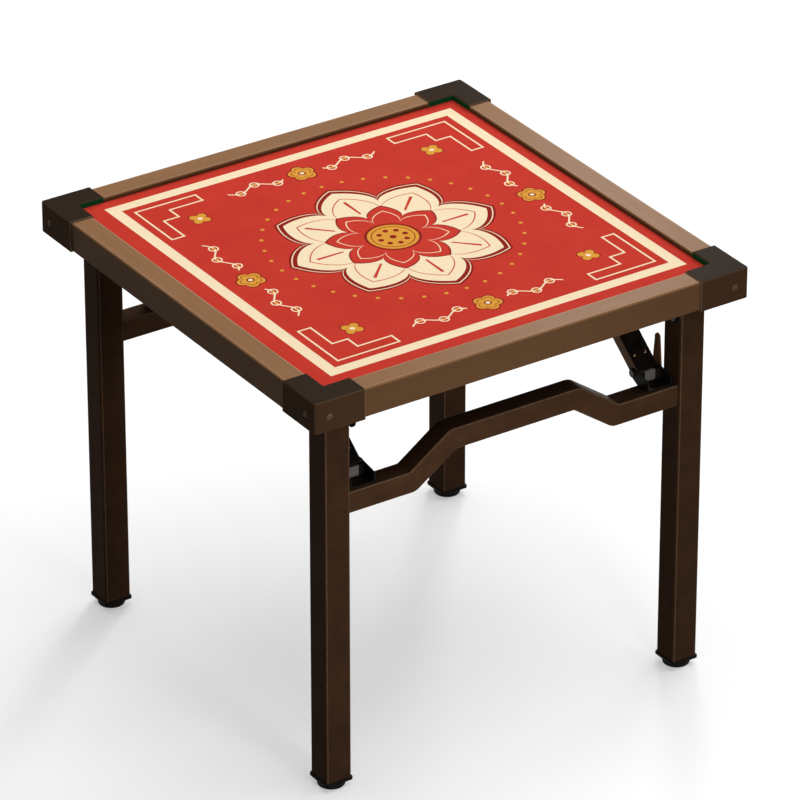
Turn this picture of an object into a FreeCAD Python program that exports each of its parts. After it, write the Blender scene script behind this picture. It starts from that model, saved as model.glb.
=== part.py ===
"""Square folding game table: a rail-framed top on two leg frames that fold flat under it."""
import FreeCAD
import Part
import math
import os

from FreeCAD import Vector

# Overall sizes in millimetres, +Z up, origin on the floor under the middle of the top
TOP_WIDTH = 860.0
TABLE_HEIGHT = 780.0

# Corner caps: L-shaped covers over the rail ends
CAP_ARM = 97.0
CAP_WALL = 2.8
CAP_LIP = 3.3
CAP_BASE = 3.8
CAP_EDGE_RADIUS = 2.5
CAP_CORNER_RADIUS = 5.0

# Rails: hollow sections, mitred at the corners, with a lip over the mat and a ledge under the board
RAIL_WIDTH = 40.0
RAIL_HEIGHT = 51.0
RAIL_WALL = 3.0
RAIL_OUTER_WALL = 4.5
RAIL_EDGE_RADIUS = 4.0
RAIL_LIP_RADIUS = 4.0
RAIL_LEDGE = 5.0
RAIL_LEDGE_THICKNESS = 3.0
FIT_GAP = 0.2

# Board and mat
BOARD_THICKNESS = 12.0
MAT_THICKNESS = 2.0
MAT_DROP = 11.0

# Cap rivets, one on each outer cap face
CAP_RIVET_FROM_CORNER = 28.0
CAP_RIVET_FROM_TOP = 31.0
CAP_RIVET_SHANK = 4.0
CAP_RIVET_HEAD = 11.0
CAP_RIVET_HEAD_HEIGHT = 1.3
CAP_RIVET_LENGTH = 10.0
CAP_RIVET_EYE = 4.0
CAP_RIVET_EYE_FLOOR = 0.4

# Legs: square tubes
LEG_SIZE = 50.0
LEG_WALL = 2.0
LEG_CORNER_RADIUS = 5.0
LEG_INSET = 50.0
LEG_ABOVE_HINGE = {"front": 10.0, "back": 64.0}

# Feet: a plug in the tube, a square flange and a round pad
FOOT_FLANGE_PROUD = 2.5
FOOT_FLANGE_THICKNESS = 5.0
FOOT_FLANGE_CORNER = 6.0
FOOT_PAD_DIAMETER = 48.0
FOOT_PAD_HEIGHT = 12.5
FOOT_PAD_EDGE = 3.0
FOOT_PLUG_DEPTH = 30.0

# Crossbars: one bent square tube in each leg frame, raised in the middle
CROSSBAR_SIZE = 40.0
CROSSBAR_WALL = 2.0
CROSSBAR_EDGE_RADIUS = 3.5
CROSSBAR_BELOW_TOP = 220.0
CROSSBAR_RISE = 56.0
CROSSBAR_FLAT_END = 120.0
CROSSBAR_RAMP = 79.0
CROSSBAR_BEND_INSIDE = 6.0
CROSSBAR_BEND_OUTSIDE = 26.0

# Braces: channels hinged on the crossbar brackets, with a pin that runs in a guide under the board
BRACE_FROM_LEG = 32.0
BRACE_STAGGER = 56.0
BRACE_WIDTH = 42.0
BRACE_SHEET = 2.5
BRACE_ABOVE_PIN = 11.0
BRACE_BELOW_PIN = 9.0
BRACE_ANGLE = 38.0
BRACE_FOLDED_ANGLE = {"front": 0.0, "back": 8.0}
BRACE_END = 10.0
BRACE_WEB_START = -5.0
BRACE_PIN_DIAMETER = 8.0
BRACE_PIN_ABOVE_CROSSBAR = 16.0
BRACE_SWING_GAP = 4.0
PIN_HEAD = 13.0
PIN_HEAD_THICKNESS = 2.5
PIN_CLEARANCE = 0.06
SIDE_GAP = 0.5

# Two rivets on each brace, near its foot
BRACE_RIVET_SHANK = 4.0
BRACE_RIVET_HEAD = 5.5
BRACE_RIVET_HEAD_HEIGHT = 1.2
BRACE_RIVET_ALONG = 26.0
BRACE_RIVET_APART = 22.0
BRACE_RIVET_TAIL = 1.0
LINER_SHEET = 2.0
LINER_START = 14.0
LINER_LENGTH = 26.0

# Brackets on the crossbars
BRACKET_SHEET = 3.0
BRACKET_DEPTH = 32.0
BRACKET_PIN_RADIUS = 9.0
BRACKET_FRONT_HEIGHT = 18.0
BRACKET_BACK_HEIGHT = 22.0
BRACKET_FROM_EDGE = 1.0

# Lock levers beside the braces, on the leg side
LEVER_THICKNESS = 3.0
LEVER_LENGTH = 62.0
LEVER_HALF_WIDTH = 12.0
LEVER_TIP_HALF_WIDTH = 6.5
LEVER_OPEN_ANGLE = 52.0

# Guides under the board: plates with a curved slot
GUIDE_SHEET = 3.0
GUIDE_FLANGE = 22.0
GUIDE_MARGIN = 14.0
GUIDE_PIN_BELOW_BOARD = 22.0
GUIDE_SLOT_CLEARANCE = 0.4
GUIDE_CORNER_RADIUS = 8.0
GUIDE_PLATE_GAP = 1.5
SLOT_STEPS = 12
SLOT_POCKET_SHARE = 0.7

# Hinge plates under the board, with the pins that the legs turn on
HINGE_OUTWARD = {"front": 16.0, "back": 0.0}
HINGE_SHEET = 4.0
HINGE_TOP_OUT = 24.0
HINGE_TOP_IN = 36.0
HINGE_FLANGE = 40.0
HINGE_END_RADIUS = 12.0
HINGE_SCREW_EDGE = 12.0
HINGE_PIN_DIAMETER = 8.0
HINGE_PIN_HEAD = 14.0
HINGE_PIN_REACH = 30.0
HINGE_PIN_TIP_GAP = 1.0
HINGE_WASHER = 15.0
HINGE_WASHER_THICKNESS = 4.8
INSERT_GAP = 0.25
INSERT_ABOVE_PIVOT = 8.0
INSERT_BELOW_PIVOT = 30.0

# Board screws, with round heads under the hinge and guide flanges
SCREW_SHANK = 4.0
SCREW_HEAD = 8.0
SCREW_HEAD_HEIGHT = 2.2
SCREW_DEPTH = 8.0
SCREW_CLEARANCE = 0.1
SCREW_TIP_GAP = 0.5

# Room left between folded pieces
FOLD_ANGLE = 90.0
FOLD_GAP = 5.0
STACK_GAP = 3.0

# How far a cut runs past the face that it starts from
CUT_PAST = 1.0

HALF = TOP_WIDTH / 2
TOP = TABLE_HEIGHT
MAT_TOP = TOP - MAT_DROP
BOARD_TOP = MAT_TOP - MAT_THICKNESS
BOARD_BOTTOM = BOARD_TOP - BOARD_THICKNESS
RAIL_INSET = CAP_WALL + FIT_GAP
RAIL_TOP = TOP - RAIL_INSET
RAIL_BOTTOM = RAIL_TOP - RAIL_HEIGHT
RAIL_INNER = RAIL_INSET + RAIL_WIDTH
CAP_WIDTH = RAIL_INNER + FIT_GAP + CAP_LIP
CAP_BOTTOM = RAIL_BOTTOM - FIT_GAP - CAP_BASE
BOARD_HALF = HALF - RAIL_INNER - FIT_GAP

LEG_CENTRE = HALF - LEG_INSET - LEG_SIZE / 2
LEG_BOTTOM = FOOT_PAD_HEIGHT + FOOT_FLANGE_THICKNESS
LEG_BORE = LEG_SIZE - 2 * LEG_WALL
FOOT_FLANGE = LEG_SIZE + 2 * FOOT_FLANGE_PROUD
LEG_INNER_X = LEG_CENTRE - LEG_SIZE / 2
CROSSBAR_TOP = TOP - CROSSBAR_BELOW_TOP
CROSSBAR_LOW_BEND = LEG_INNER_X - CROSSBAR_FLAT_END
CROSSBAR_HIGH_BEND = CROSSBAR_LOW_BEND - CROSSBAR_RAMP
FRONT_BRACE_X = LEG_INNER_X - BRACE_FROM_LEG
BRACE_X = {"front": FRONT_BRACE_X, "back": FRONT_BRACE_X - BRACE_STAGGER}

PIN_RADIUS = BRACE_PIN_DIAMETER / 2
PIN_INWARD = CROSSBAR_SIZE / 2 + BRACE_SWING_GAP + BRACE_BELOW_PIN
PIN_Z = CROSSBAR_TOP + BRACE_PIN_ABOVE_CROSSBAR
GUIDE_PIN_Z = BOARD_BOTTOM - GUIDE_PIN_BELOW_BOARD
BRACE_LENGTH = (GUIDE_PIN_Z - PIN_Z) / math.sin(math.radians(BRACE_ANGLE))

FRONT_FOLDED_Z = BOARD_BOTTOM - FOLD_GAP - BRACKET_PIN_RADIUS - PIN_INWARD
BACK_FOLDED_Z = FRONT_FOLDED_Z - FOOT_FLANGE - STACK_GAP
PIVOT_Z = {"front": FRONT_FOLDED_Z - HINGE_OUTWARD["front"], "back": BACK_FOLDED_Z - HINGE_OUTWARD["back"]}
END_SIGN = {"front": -1, "back": 1}
SIDE_SIGN = {"left": -1, "right": 1}
CORNERS = ("front_left", "front_right", "back_right", "back_left")


def save(shape, name):
    """Write one node."""
    shape.exportStep("parts/%s.step" % name)


def box(low, high):
    """Box between two corners given in any order."""
    first = [min(a, b) for a, b in zip(low, high)]
    size = [abs(a - b) for a, b in zip(low, high)]
    return Part.makeBox(size[0], size[1], size[2], Vector(*first))


def rod(centre, direction, diameter, length):
    """Round bar from a point along a direction."""
    return Part.makeCylinder(diameter / 2, length, centre, direction)


def polygon_prism(points, lift):
    """Flat polygon pushed along a vector."""
    closed = list(points) + [points[0]]
    return Part.Face(Part.makePolygon(closed)).extrude(lift)


def rivet(base, direction, shank, head, head_height, length, eye=0.0, eye_floor=0.0):
    """Domed head on a straight shank, turned from its half profile. Base is where the head meets the sheet,
    and direction points into it. An eye is the diameter of a round recess in the head's middle, whose floor
    stands off the sheet by eye_floor."""
    radius = (head * head / 4 + head_height * head_height) / (2 * head_height)
    rim_angle = math.asin(head / 2 / radius)
    eye_angle = math.asin(eye / 2 / radius)

    def on_dome(angle):
        return Vector(radius * math.sin(angle), 0, radius - head_height - radius * math.cos(angle))

    points = [
        Vector(head / 2, 0, 0),
        Vector(shank / 2, 0, 0),
        Vector(shank / 2, 0, length),
        Vector(0, 0, length),
    ]
    if eye:
        points += [Vector(0, 0, -eye_floor), Vector(eye / 2, 0, -eye_floor)]
    points.append(on_dome(eye_angle))
    dome = Part.Arc(on_dome(eye_angle), on_dome((eye_angle + rim_angle) / 2), points[0]).toShape()
    solid = Part.Face(Part.Wire(lines(points) + [dome])).revolve(Vector(), Vector(0, 0, 1), 360)
    solid.Placement = FreeCAD.Placement(base, FreeCAD.Rotation(Vector(0, 0, 1), direction))
    return solid


def lines(points):
    """Straight edges through a row of points."""
    return [Part.makeLine(a, b) for a, b in zip(points, points[1:])]


def upright_edges(shape):
    """Edges that run along Z."""
    found = []
    for edge in shape.Edges:
        first, last = edge.Vertexes[0].Point, edge.Vertexes[-1].Point
        if abs(first.x - last.x) < 1e-6 and abs(first.y - last.y) < 1e-6:
            found.append(edge)
    return found


def edges_at_height(shape, height):
    """Edges that lie in a level plane."""
    return [e for e in shape.Edges if all(abs(v.Z - height) < 1e-6 for v in e.Vertexes)]


def square_bar(size, radius, x, y, low, high):
    """Upright square bar with rounded corners."""
    bar = box((x - size / 2, y - size / 2, low), (x + size / 2, y + size / 2, high))
    return bar.makeFillet(radius, upright_edges(bar))


# Top: rails, caps, board and mat


def rail_section():
    """Faces of a front rail's section at x = 0: tube, lip, the corner cut off above the lip, and ledge."""
    outer = -HALF + RAIL_INSET
    inner = -HALF + RAIL_INNER
    tip = -HALF + CAP_WIDTH
    crown = tip - RAIL_LIP_RADIUS
    lip_top = RAIL_TOP - RAIL_LIP_RADIUS
    lip_reach = RAIL_LIP_RADIUS * math.sqrt(0.5)
    lip_mid = Vector(0, crown + lip_reach, lip_top + lip_reach)
    soft = RAIL_EDGE_RADIUS * (1 - math.sqrt(0.5))
    ledge_low = BOARD_BOTTOM - RAIL_LEDGE_THICKNESS
    tube = [
        Part.makeLine(Vector(0, outer, RAIL_BOTTOM), Vector(0, outer, RAIL_TOP - RAIL_EDGE_RADIUS)),
        Part.Arc(Vector(0, outer, RAIL_TOP - RAIL_EDGE_RADIUS), Vector(0, outer + soft, RAIL_TOP - soft),
                 Vector(0, outer + RAIL_EDGE_RADIUS, RAIL_TOP)).toShape(),
        Part.makeLine(Vector(0, outer + RAIL_EDGE_RADIUS, RAIL_TOP), Vector(0, inner, RAIL_TOP)),
        Part.makeLine(Vector(0, inner, RAIL_TOP), Vector(0, inner, RAIL_BOTTOM)),
        Part.makeLine(Vector(0, inner, RAIL_BOTTOM), Vector(0, outer, RAIL_BOTTOM)),
    ]
    shoulder = [
        Part.makeLine(Vector(0, crown, RAIL_TOP), Vector(0, crown, MAT_TOP)),
        Part.makeLine(Vector(0, crown, MAT_TOP), Vector(0, tip, MAT_TOP)),
        Part.makeLine(Vector(0, tip, MAT_TOP), Vector(0, tip, lip_top)),
        Part.Arc(Vector(0, tip, lip_top), lip_mid, Vector(0, crown, RAIL_TOP)).toShape(),
    ]
    above = [
        Vector(0, crown, RAIL_TOP),
        Vector(0, tip, RAIL_TOP),
        Vector(0, tip, lip_top),
    ]
    scrap = [
        Part.makeLine(above[0], above[1]),
        Part.makeLine(above[1], above[2]),
        Part.Arc(above[2], lip_mid, above[0]).toShape(),
    ]
    ledge = [
        Vector(0, inner, BOARD_BOTTOM),
        Vector(0, inner + RAIL_LEDGE, BOARD_BOTTOM),
        Vector(0, inner + RAIL_LEDGE, ledge_low),
        Vector(0, inner, ledge_low),
        Vector(0, inner, BOARD_BOTTOM),
    ]
    faces = [Part.Face(Part.Wire(edges)) for edges in (tube, shoulder, scrap)]
    return faces + [Part.Face(Part.makePolygon(ledge))]


def front_rail():
    """Rail along the front: a mitred hollow tube whose lip and ledge stop at the caps."""
    tube_face, lip_face, scrap_face, ledge_face = rail_section()
    along = Vector(TOP_WIDTH, 0, 0)
    clear = TOP_WIDTH - 2 * (CAP_ARM + FIT_GAP)
    clear_start = Vector(-clear / 2, 0, 0)

    def between_caps(face):
        part = face.extrude(Vector(clear, 0, 0))
        part.translate(clear_start)
        return part

    tube = tube_face.extrude(along)
    tube.translate(Vector(-HALF, 0, 0))
    rail = tube.cut(between_caps(scrap_face)).fuse(between_caps(lip_face)).fuse(between_caps(ledge_face))
    core_outer = -HALF + RAIL_INSET + RAIL_OUTER_WALL
    core_inner = -HALF + RAIL_INNER - RAIL_WALL
    core_top = RAIL_TOP - RAIL_OUTER_WALL
    rail = rail.cut(box((-HALF, core_outer, RAIL_BOTTOM + RAIL_WALL), (HALF, core_inner, core_top)))
    depth = CAP_WIDTH + CUT_PAST
    low = RAIL_BOTTOM - CUT_PAST
    mitre = polygon_prism([
        Vector(-HALF + FIT_GAP, -HALF, low),
        Vector(HALF - FIT_GAP, -HALF, low),
        Vector(HALF - depth - FIT_GAP, -HALF + depth, low),
        Vector(-HALF + depth + FIT_GAP, -HALF + depth, low),
    ], Vector(0, 0, RAIL_HEIGHT + 2 * CUT_PAST))
    rail = rail.common(mitre)
    for sign in (-1, 1):
        rail = rail.cut(cap_rivet_hole(sign))
    return rail.removeSplitter()


def cap_rivet_place(sign):
    """Centre of a rivet on the front face, beside the left (-1) or right (1) corner."""
    return Vector(sign * (HALF - CAP_RIVET_FROM_CORNER), -HALF, TOP - CAP_RIVET_FROM_TOP)


def cap_rivet_hole(sign):
    """Hole for a cap rivet through the cap's and the rail's outer wall."""
    into = Vector(0, 1, 0)
    start = cap_rivet_place(sign) - into * CUT_PAST
    return rod(start, into, CAP_RIVET_SHANK + 2 * PIN_CLEARANCE, CAP_RIVET_LENGTH + 2 * CUT_PAST)


def ell(start, width, reach):
    """Corner points of an L that hugs the front left corner, as offsets inward from it."""
    offsets = [(start, start), (reach, start), (reach, width), (width, width), (width, reach), (start, reach)]
    return [(x - HALF, y - HALF) for x, y in offsets]


def ell_prism(start, width, reach, low, high):
    """L-shaped block at the front left corner."""
    points = [Vector(x, y, low) for x, y in ell(start, width, reach)]
    return polygon_prism(points, Vector(0, 0, high - low))


def front_left_cap():
    """L-shaped cover over the front left corner, open where the rails and the board enter."""
    shell = ell_prism(0, CAP_WIDTH, CAP_ARM, CAP_BOTTOM, TOP)
    corner = [e for e in upright_edges(shell) if e.CenterOfMass.x + e.CenterOfMass.y < -TOP_WIDTH + 1e-6]
    shell = shell.makeFillet(CAP_CORNER_RADIUS, corner)
    rims = edges_at_height(shell, TOP) + edges_at_height(shell, CAP_BOTTOM)
    shell = shell.makeFillet(CAP_EDGE_RADIUS, rims)
    floor = RAIL_BOTTOM - FIT_GAP
    reach = CAP_ARM + CUT_PAST
    shell = shell.cut(ell_prism(CAP_WALL, CAP_WIDTH - CAP_LIP, reach, floor, TOP - CAP_WALL))
    shell = shell.cut(ell_prism(RAIL_WIDTH, CAP_WIDTH + CUT_PAST, reach, floor, MAT_TOP))
    shell = shell.cut(cap_rivet_hole(-1))
    side_hole = cap_rivet_hole(1)
    side_hole.rotate(Vector(), Vector(0, 0, 1), -90)
    return shell.cut(side_hole)


def turned(shape, quarter):
    """Copy of a shape turned about the table's centre by quarter turns, front to right to back to left."""
    copy = shape.copy()
    copy.rotate(Vector(), Vector(0, 0, 1), 90 * quarter)
    return copy


def make_top_frame():
    """Rails, caps and cap rivets, each made once at the front and turned to its side."""
    rail = front_rail()
    cap = front_left_cap()
    rivets = []
    for quarter, side in enumerate(("front", "right", "back", "left")):
        save(turned(rail, quarter), "rail_%s" % side)
        save(turned(cap, quarter), "corner_cap_%s" % CORNERS[quarter])
        for sign in (-1, 1):
            pin = rivet(cap_rivet_place(sign), Vector(0, 1, 0), CAP_RIVET_SHANK, CAP_RIVET_HEAD,
                        CAP_RIVET_HEAD_HEIGHT, CAP_RIVET_LENGTH, CAP_RIVET_EYE, CAP_RIVET_EYE_FLOOR)
            rivets.append(turned(pin, quarter))
    save(Part.makeCompound(rivets), "cap_rivets")


def make_board(screw_places):
    """Board with screw holes, and the mat on it."""
    board = box((-BOARD_HALF, -BOARD_HALF, BOARD_BOTTOM), (BOARD_HALF, BOARD_HALF, BOARD_TOP))
    bore = SCREW_SHANK + 2 * SCREW_CLEARANCE
    depth = CUT_PAST + SCREW_DEPTH + SCREW_TIP_GAP
    holes = []
    for x, y in screw_places:
        holes.append(rod(Vector(x, y, BOARD_BOTTOM - CUT_PAST), Vector(0, 0, 1), bore, depth))
    save(board.cut(Part.makeCompound(holes)), "board")
    mat = box((-BOARD_HALF, -BOARD_HALF, BOARD_TOP), (BOARD_HALF, BOARD_HALF, MAT_TOP))
    save(mat, "playing_mat")


# Places in a leg frame: inward is the distance from the legs' centre line towards the table's middle


def spot(end, inward, z, x=0.0):
    """Point at an inward distance and a height."""
    return Vector(x, END_SIGN[end] * (LEG_CENTRE - inward), z)


def fold_turn(end, inward, z, angle):
    """Where a point of an upright leg frame goes when the frame is folded inward by an angle."""
    c, s = math.cos(math.radians(angle)), math.sin(math.radians(angle))
    reach = inward + HINGE_OUTWARD[end]
    rise = z - PIVOT_Z[end]
    return reach * c - rise * s - HINGE_OUTWARD[end], PIVOT_Z[end] + reach * s + rise * c


def guide_pin_place(end, share):
    """Inward distance and height of a brace's upper pin when a share of the fold is done."""
    inward, z = fold_turn(end, PIN_INWARD, PIN_Z, FOLD_ANGLE * share)
    tilt = math.radians(BRACE_ANGLE + (BRACE_FOLDED_ANGLE[end] - BRACE_ANGLE) * share)
    return inward + BRACE_LENGTH * math.cos(tilt), z + BRACE_LENGTH * math.sin(tilt)


def brace_spot(end, along, above, x=0.0):
    """Point on a brace at rest, along it from its foot pin and above its pin line."""
    c, s = math.cos(math.radians(BRACE_ANGLE)), math.sin(math.radians(BRACE_ANGLE))
    return spot(end, PIN_INWARD + along * c - above * s, PIN_Z + along * s + above * c, x)


def side_plate(edges, x_from, x_to):
    """Outline in a YZ plane, given at x = 0, pushed between two x values."""
    plate = Part.Face(Part.Wire(edges)).extrude(Vector(x_to - x_from, 0, 0))
    plate.translate(Vector(x_from, 0, 0))
    return plate


def pin_between(end, inward, z, diameter, x_from, x_to):
    """Round pin along X."""
    step = x_to - x_from
    return rod(spot(end, inward, z, x_from), Vector(math.copysign(1, step), 0, 0), diameter, abs(step))


def hinge_pin_between(end, diameter, x_from, x_to):
    """Round bar along a frame's hinge line."""
    return pin_between(end, -HINGE_OUTWARD[end], PIVOT_Z[end], diameter, x_from, x_to)


# Leg frames


def make_leg(end, side):
    """Square tube with a hole for the hinge pin in its inner wall."""
    x = SIDE_SIGN[side] * LEG_CENTRE
    y = END_SIGN[end] * LEG_CENTRE
    high = PIVOT_Z[end] + LEG_ABOVE_HINGE[end]
    tube = square_bar(LEG_SIZE, LEG_CORNER_RADIUS, x, y, LEG_BOTTOM, high)
    inner_radius = LEG_CORNER_RADIUS - LEG_WALL
    tube = tube.cut(square_bar(LEG_BORE, inner_radius, x, y, LEG_BOTTOM - CUT_PAST, high + CUT_PAST))
    inner_face = SIDE_SIGN[side] * (LEG_INNER_X - CUT_PAST)
    hole = hinge_pin_between(end, HINGE_PIN_DIAMETER + 4 * PIN_CLEARANCE, x, inner_face)
    save(tube.cut(hole), "leg_%s_%s" % (end, side))


def make_insert(end, side):
    """Block inside the top of a leg, with a blind bore that turns on the hinge pin."""
    x = SIDE_SIGN[side] * LEG_CENTRE
    y = END_SIGN[end] * LEG_CENTRE
    pivot_z = PIVOT_Z[end]
    size = LEG_BORE - 2 * INSERT_GAP
    block = square_bar(size, LEG_CORNER_RADIUS - LEG_WALL, x, y, pivot_z - INSERT_BELOW_PIVOT,
                       pivot_z + INSERT_ABOVE_PIVOT)
    mouth = SIDE_SIGN[side] * LEG_INNER_X
    bottom = SIDE_SIGN[side] * (LEG_INNER_X + HINGE_PIN_REACH + HINGE_PIN_TIP_GAP)
    return block.cut(hinge_pin_between(end, HINGE_PIN_DIAMETER + 2 * PIN_CLEARANCE, mouth, bottom))


def make_foot(end, side):
    """Moulded foot: a plug in the tube, a square flange and a round pad on the floor."""
    x = SIDE_SIGN[side] * LEG_CENTRE
    y = END_SIGN[end] * LEG_CENTRE
    pad = Part.makeCylinder(FOOT_PAD_DIAMETER / 2, FOOT_PAD_HEIGHT, Vector(x, y, 0))
    pad = pad.makeFillet(FOOT_PAD_EDGE, edges_at_height(pad, 0))
    flange = square_bar(FOOT_FLANGE, FOOT_FLANGE_CORNER, x, y, FOOT_PAD_HEIGHT, LEG_BOTTOM)
    flange = flange.makeFillet(FOOT_FLANGE_THICKNESS / 4, edges_at_height(flange, LEG_BOTTOM))
    plug = square_bar(LEG_BORE - 2 * INSERT_GAP, LEG_CORNER_RADIUS - LEG_WALL, x, y, LEG_BOTTOM,
                      LEG_BOTTOM + FOOT_PLUG_DEPTH)
    save(pad.fuse(flange).fuse(plug).removeSplitter(), "foot_%s_%s" % (end, side))


def crossbar_outline(inset):
    """Face of the bent bar seen from the front, drawn in by a wall."""
    slope = math.atan2(CROSSBAR_RISE, CROSSBAR_LOW_BEND - CROSSBAR_HIGH_BEND)
    shift = math.tan(slope / 2)
    end_x = LEG_INNER_X - inset
    points = []
    for depth in (inset, CROSSBAR_SIZE - inset):
        low, high = CROSSBAR_TOP - depth, CROSSBAR_TOP + CROSSBAR_RISE - depth
        low_bend = CROSSBAR_LOW_BEND - depth * shift
        high_bend = CROSSBAR_HIGH_BEND - depth * shift
        left = [(-end_x, low), (-low_bend, low), (-high_bend, high)]
        points.append(left + [(-x, z) for x, z in left[::-1]])
    ring = points[0] + points[1][::-1]
    return Part.Face(Part.makePolygon([Vector(x, 0, z) for x, z in ring + ring[:1]]))


def bend_edges(solid, outside):
    """Edges along Y at the bends of the bar, on the outside or the inside of each bend."""
    middle = CROSSBAR_TOP + (CROSSBAR_RISE - CROSSBAR_SIZE) / 2
    near = max(CROSSBAR_RISE, CROSSBAR_SIZE) / 2
    found = []
    for edge in solid.Edges:
        first, last = edge.Vertexes[0].Point, edge.Vertexes[-1].Point
        along_y = abs(first.x - last.x) < 1e-6 and abs(first.z - last.z) < 1e-6
        at_bend = abs(first.x) < LEG_INNER_X - CROSSBAR_FLAT_END / 2
        if along_y and at_bend and (abs(first.z - middle) > near) == outside:
            found.append(edge)
    return found


def long_edges(solid, face_y):
    """Edges in one side face of the bar, apart from its two ends."""
    found = []
    for edge in solid.Edges:
        in_face = all(abs(v.Y - face_y) < 1e-6 for v in edge.Vertexes)
        at_end = all(abs(abs(v.X) - LEG_INNER_X) < 1e-6 for v in edge.Vertexes)
        if in_face and not at_end:
            found.append(edge)
    return found


def make_crossbar(end):
    """Bent square tube between the legs, raised in the middle, with rounded bends and edges."""
    front_y = END_SIGN[end] * LEG_CENTRE - CROSSBAR_SIZE / 2
    bar = crossbar_outline(0).extrude(Vector(0, CROSSBAR_SIZE, 0))
    bar.translate(Vector(0, front_y, 0))
    bar = bar.makeFillet(CROSSBAR_BEND_INSIDE, bend_edges(bar, False))
    bar = bar.makeFillet(CROSSBAR_BEND_OUTSIDE, bend_edges(bar, True))
    rims = long_edges(bar, front_y) + long_edges(bar, front_y + CROSSBAR_SIZE)
    bar = bar.makeFillet(CROSSBAR_EDGE_RADIUS, rims)
    hollow = crossbar_outline(CROSSBAR_WALL).extrude(Vector(0, CROSSBAR_SIZE - 2 * CROSSBAR_WALL, 0))
    hollow.translate(Vector(0, front_y + CROSSBAR_WALL, 0))
    hollow = hollow.makeFillet(CROSSBAR_BEND_INSIDE + CROSSBAR_WALL, bend_edges(hollow, False))
    hollow = hollow.makeFillet(CROSSBAR_BEND_OUTSIDE - CROSSBAR_WALL, bend_edges(hollow, True))
    save(bar.cut(hollow), "crossbar_%s" % end)


def make_bracket(end, side):
    """Bracket on the crossbar: a base, a low wall behind, and two cheeks that carry the brace's foot pin."""
    middle = SIDE_SIGN[side] * BRACE_X[end]
    inside = BRACE_WIDTH / 2 + SIDE_GAP
    outside = inside + BRACKET_SHEET
    back = CROSSBAR_SIZE / 2 - BRACKET_FROM_EDGE
    front = back - BRACKET_DEPTH
    base = box(spot(end, front, CROSSBAR_TOP, middle - outside),
               spot(end, back, CROSSBAR_TOP + BRACKET_SHEET, middle + outside))
    wall = box(spot(end, back - BRACKET_SHEET, CROSSBAR_TOP, middle - inside),
               spot(end, back, CROSSBAR_TOP + BRACKET_BACK_HEIGHT, middle + inside))
    cheek_points = [
        spot(end, front, CROSSBAR_TOP),
        spot(end, back, CROSSBAR_TOP),
        spot(end, PIN_INWARD, PIN_Z - BRACKET_PIN_RADIUS),
        spot(end, PIN_INWARD, PIN_Z + BRACKET_PIN_RADIUS),
        spot(end, front + BRACKET_SHEET, CROSSBAR_TOP + BRACKET_FRONT_HEIGHT),
        spot(end, front, CROSSBAR_TOP + BRACKET_FRONT_HEIGHT - BRACKET_SHEET),
    ]
    bracket = base.fuse(wall)
    for sign in (-1, 1):
        x_from, x_to = middle + sign * inside, middle + sign * outside
        cheek = side_plate(lines(cheek_points + cheek_points[:1]), x_from, x_to)
        ear = pin_between(end, PIN_INWARD, PIN_Z, 2 * BRACKET_PIN_RADIUS, x_from, x_to)
        bracket = bracket.fuse(cheek).fuse(ear)
    reach = outside + CUT_PAST
    hole = pin_between(end, PIN_INWARD, PIN_Z, BRACE_PIN_DIAMETER + 2 * PIN_CLEARANCE, middle - reach,
                       middle + reach)
    save(bracket.cut(hole).removeSplitter(), "brace_bracket_%s_%s" % (end, side))


def lever_faces(end, side):
    """The x values of a lever's near and far face, on the leg side of its bracket."""
    near = BRACE_X[end] + BRACE_WIDTH / 2 + SIDE_GAP + BRACKET_SHEET + SIDE_GAP
    return SIDE_SIGN[side] * near, SIDE_SIGN[side] * (near + LEVER_THICKNESS)


def make_foot_pin(end, side):
    """Pin through the bracket, the brace's foot and the lever, with a flat head at each end."""
    sign = SIDE_SIGN[side]
    inner = sign * (BRACE_X[end] - BRACE_WIDTH / 2 - SIDE_GAP - BRACKET_SHEET - FIT_GAP)
    outer = lever_faces(end, side)[1] + sign * SIDE_GAP
    pin = pin_between(end, PIN_INWARD, PIN_Z, BRACE_PIN_DIAMETER, inner, outer)
    for start, way in ((inner, -sign), (outer, sign)):
        head = pin_between(end, PIN_INWARD, PIN_Z, PIN_HEAD, start, start + way * PIN_HEAD_THICKNESS)
        pin = pin.fuse(head)
    return pin.removeSplitter()


# Braces and levers


def channel_flank(end, start, finish, above, below):
    """Outline of a brace's flank: straight, with both ends rounded about its two pins' centres."""
    mid_above = (above - below) / 2
    half = (above + below) / 2
    return [
        Part.makeLine(brace_spot(end, start, above), brace_spot(end, finish, above)),
        Part.Arc(brace_spot(end, finish, above), brace_spot(end, finish + half, mid_above),
                 brace_spot(end, finish, -below)).toShape(),
        Part.makeLine(brace_spot(end, finish, -below), brace_spot(end, start, -below)),
        Part.Arc(brace_spot(end, start, -below), brace_spot(end, start - half, mid_above),
                 brace_spot(end, start, above)).toShape(),
    ]


def brace_block(end, along, above, x_range):
    """Slab on a brace between two places along it and two heights over its pin line."""
    corners = [brace_spot(end, a, n) for a, n in zip((along[0], along[1], along[1], along[0], along[0]),
                                                     (above[0], above[0], above[1], above[1], above[0]))]
    return side_plate(lines(corners), x_range[0], x_range[1])


def rivet_places(end, middle):
    """Centres of a brace's two rivets on the outer face of its web."""
    return [brace_spot(end, BRACE_RIVET_ALONG, BRACE_ABOVE_PIN, middle + sign * BRACE_RIVET_APART / 2)
            for sign in (-1, 1)]


def web_normal(end):
    """Direction from the web's outer face into the channel."""
    return brace_spot(end, 0, 0) - brace_spot(end, 0, 1)


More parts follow.
